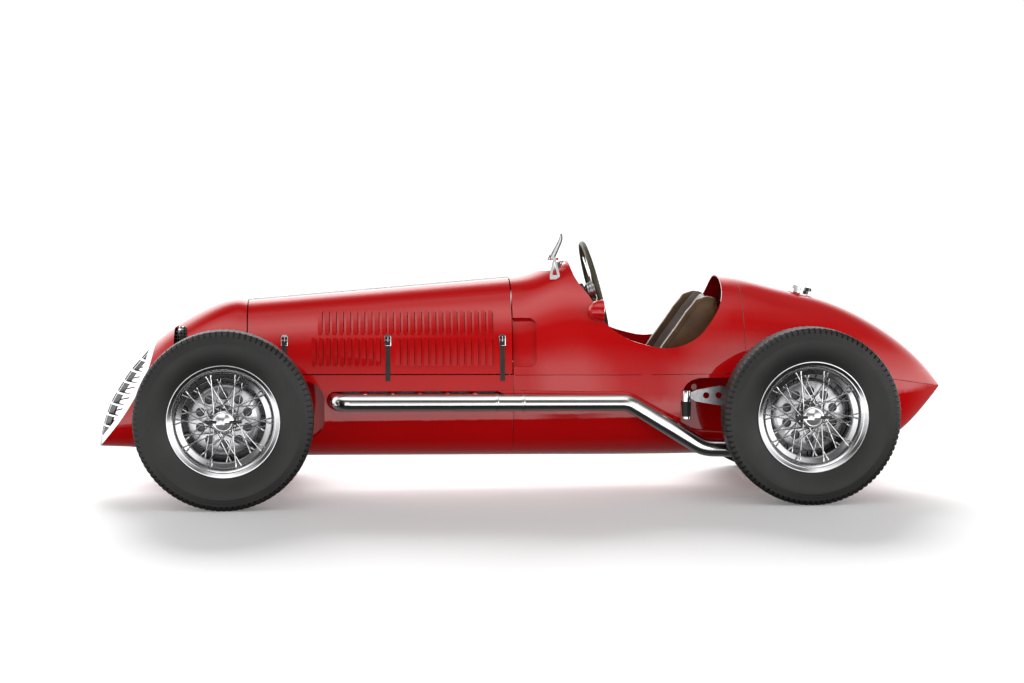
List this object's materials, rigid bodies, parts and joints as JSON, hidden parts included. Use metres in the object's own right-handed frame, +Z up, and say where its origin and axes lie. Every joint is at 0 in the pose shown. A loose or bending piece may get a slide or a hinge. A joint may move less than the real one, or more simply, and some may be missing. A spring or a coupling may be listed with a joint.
{
  "type": "open wheel racing car",
  "caption": "Single-seat open wheel racing car with a long louvred bonnet, wire wheels, side exhaust, open cockpit and pointed tail.",
  "frame": {"origin": "on the ground, midway between the nose lip and the tip of the tail", "axes": "+X towards the nose, +Y to the car's left, +Z up"},
  "size_m": [3.7805, 1.426, 1.1426],
  "materials": {
    "body_paint": "gloss",
    "grille_chrome": "polished",
    "radiator_core": "matte",
    "hinge_steel": "polished",
    "frame_paint": "satin",
    "engine_alloy": "satin",
    "wheel_alloy": "polished",
    "tyre_rubber": "matte",
    "drum_iron": "satin",
    "chrome": "polished",
    "suspension_steel": "satin",
    "damper_rubber": "satin",
    "exhaust_steel": "satin",
    "seat_leather": "satin",
    "steering_wood": "satin",
    "column_black": "satin",
    "screen_glass": "clear",
    "strap_leather": "satin"
  },
  "bodies": {
    "chassis": {"nose_cowl": "body_paint", "nose_vents": "radiator_core", "grille": "grille_chrome", "radiator": "radiator_core", "bonnet_hinge": "hinge_steel", "lower_body_front": "body_paint", "cockpit_body": "body_paint", "lower_body_rear": "body_paint", "tail_body": "body_paint", "chassis_frame": "frame_paint", "engine_block": "engine_alloy", "front_arms": "suspension_steel", "front_spring": "suspension_steel", "rear_axle": "suspension_steel", "rear_arms": "suspension_steel", "rear_dampers": "damper_rubber", "exhaust": "exhaust_steel", "seat": "seat_leather", "steering_column": "column_black", "dashboard": "column_black", "bulkheads": "frame_paint", "windscreen_frame": "chrome", "windscreen_glass": "screen_glass", "mirrors": "body_paint", "filler_neck": "chrome"},
    "knuckle_left": {"knuckle_left": "suspension_steel"},
    "knuckle_right": {"knuckle_right": "suspension_steel"},
    "track_rod": {"track_rod": "suspension_steel"},
    "steering_wheel": {"steering_wheel": "steering_wood"},
    "bonnet_left": {"bonnet_left": "body_paint", "straps_left": "strap_leather"},
    "bonnet_right": {"bonnet_right": "body_paint", "straps_right": "strap_leather"},
    "filler_lid": {"filler_lid": "chrome"},
    "wheel_front_left": {"wheel_front_left": "wheel_alloy", "tyre_front_left": "tyre_rubber", "drum_front_left": "drum_iron", "knock_off_front_left": "chrome"},
    "wheel_front_right": {"wheel_front_right": "wheel_alloy", "tyre_front_right": "tyre_rubber", "drum_front_right": "drum_iron", "knock_off_front_right": "chrome"},
    "wheel_rear_left": {"wheel_rear_left": "wheel_alloy", "tyre_rear_left": "tyre_rubber", "drum_rear_left": "drum_iron", "knock_off_rear_left": "chrome"},
    "wheel_rear_right": {"wheel_rear_right": "wheel_alloy", "tyre_rear_right": "tyre_rubber", "drum_rear_right": "drum_iron", "knock_off_rear_right": "chrome"}
  },
  "joints": [
    {"name": "steer_left", "type": "hinge", "parent": "chassis", "child": "knuckle_left", "pos_m": [1.316, 0.53, 0.38], "axis": [0, 0, 1], "range_deg": [-25, 25]},
    {"name": "steer_right", "type": "hinge", "parent": "chassis", "child": "knuckle_right", "pos_m": [1.316, -0.53, 0.38], "axis": [0, 0, 1], "range_deg": [-25, 25]},
    {"name": "track_rod_pivot", "type": "hinge", "parent": "knuckle_left", "child": "track_rod", "pos_m": [1.166, 0.53, 0.33], "axis": [0, 0, 1], "range_deg": [-25, 25]},
    {"name": "steering_wheel_turn", "type": "hinge", "parent": "chassis", "child": "steering_wheel", "pos_m": [-0.314, 0, 0.888], "axis": [-0.9677, 0, 0.2521], "range_deg": [-250, 250]},
    {"name": "wheel_front_left_roll", "type": "hinge", "parent": "knuckle_left", "child": "wheel_front_left", "pos_m": [1.316, 0.625, 0.38], "axis": [0, 1, 0], "continuous": true},
    {"name": "wheel_front_right_roll", "type": "hinge", "parent": "knuckle_right", "child": "wheel_front_right", "pos_m": [1.316, -0.625, 0.38], "axis": [0, 1, 0], "continuous": true},
    {"name": "wheel_rear_left_roll", "type": "hinge", "parent": "chassis", "child": "wheel_rear_left", "pos_m": [-1.184, 0.625, 0.38], "axis": [0, 1, 0], "continuous": true},
    {"name": "wheel_rear_right_roll", "type": "hinge", "parent": "chassis", "child": "wheel_rear_right", "pos_m": [-1.184, -0.625, 0.38], "axis": [0, 1, 0], "continuous": true},
    {"name": "bonnet_left_lift", "type": "hinge", "parent": "chassis", "child": "bonnet_left", "pos_m": [1.231, 0, 0.846], "axis": [0.9966, 0, -0.0824], "range_deg": [0, 85]},
    {"name": "bonnet_right_lift", "type": "hinge", "parent": "chassis", "child": "bonnet_right", "pos_m": [1.231, 0, 0.846], "axis": [-0.9966, 0, 0.0824], "range_deg": [0, 85]},
    {"name": "filler_lid_flip", "type": "hinge", "parent": "chassis", "child": "filler_lid", "pos_m": [-1.30858, 0, 0.87794], "axis": [0, -1, 0], "range_deg": [0, 100]}
  ],
  "couplings": [
    {"joint": "steer_right", "follows": "steer_left", "ratio": 1},
    {"joint": "track_rod_pivot", "follows": "steer_left", "ratio": -1},
    {"joint": "steering_wheel_turn", "follows": "steer_left", "ratio": 10}
  ]
}
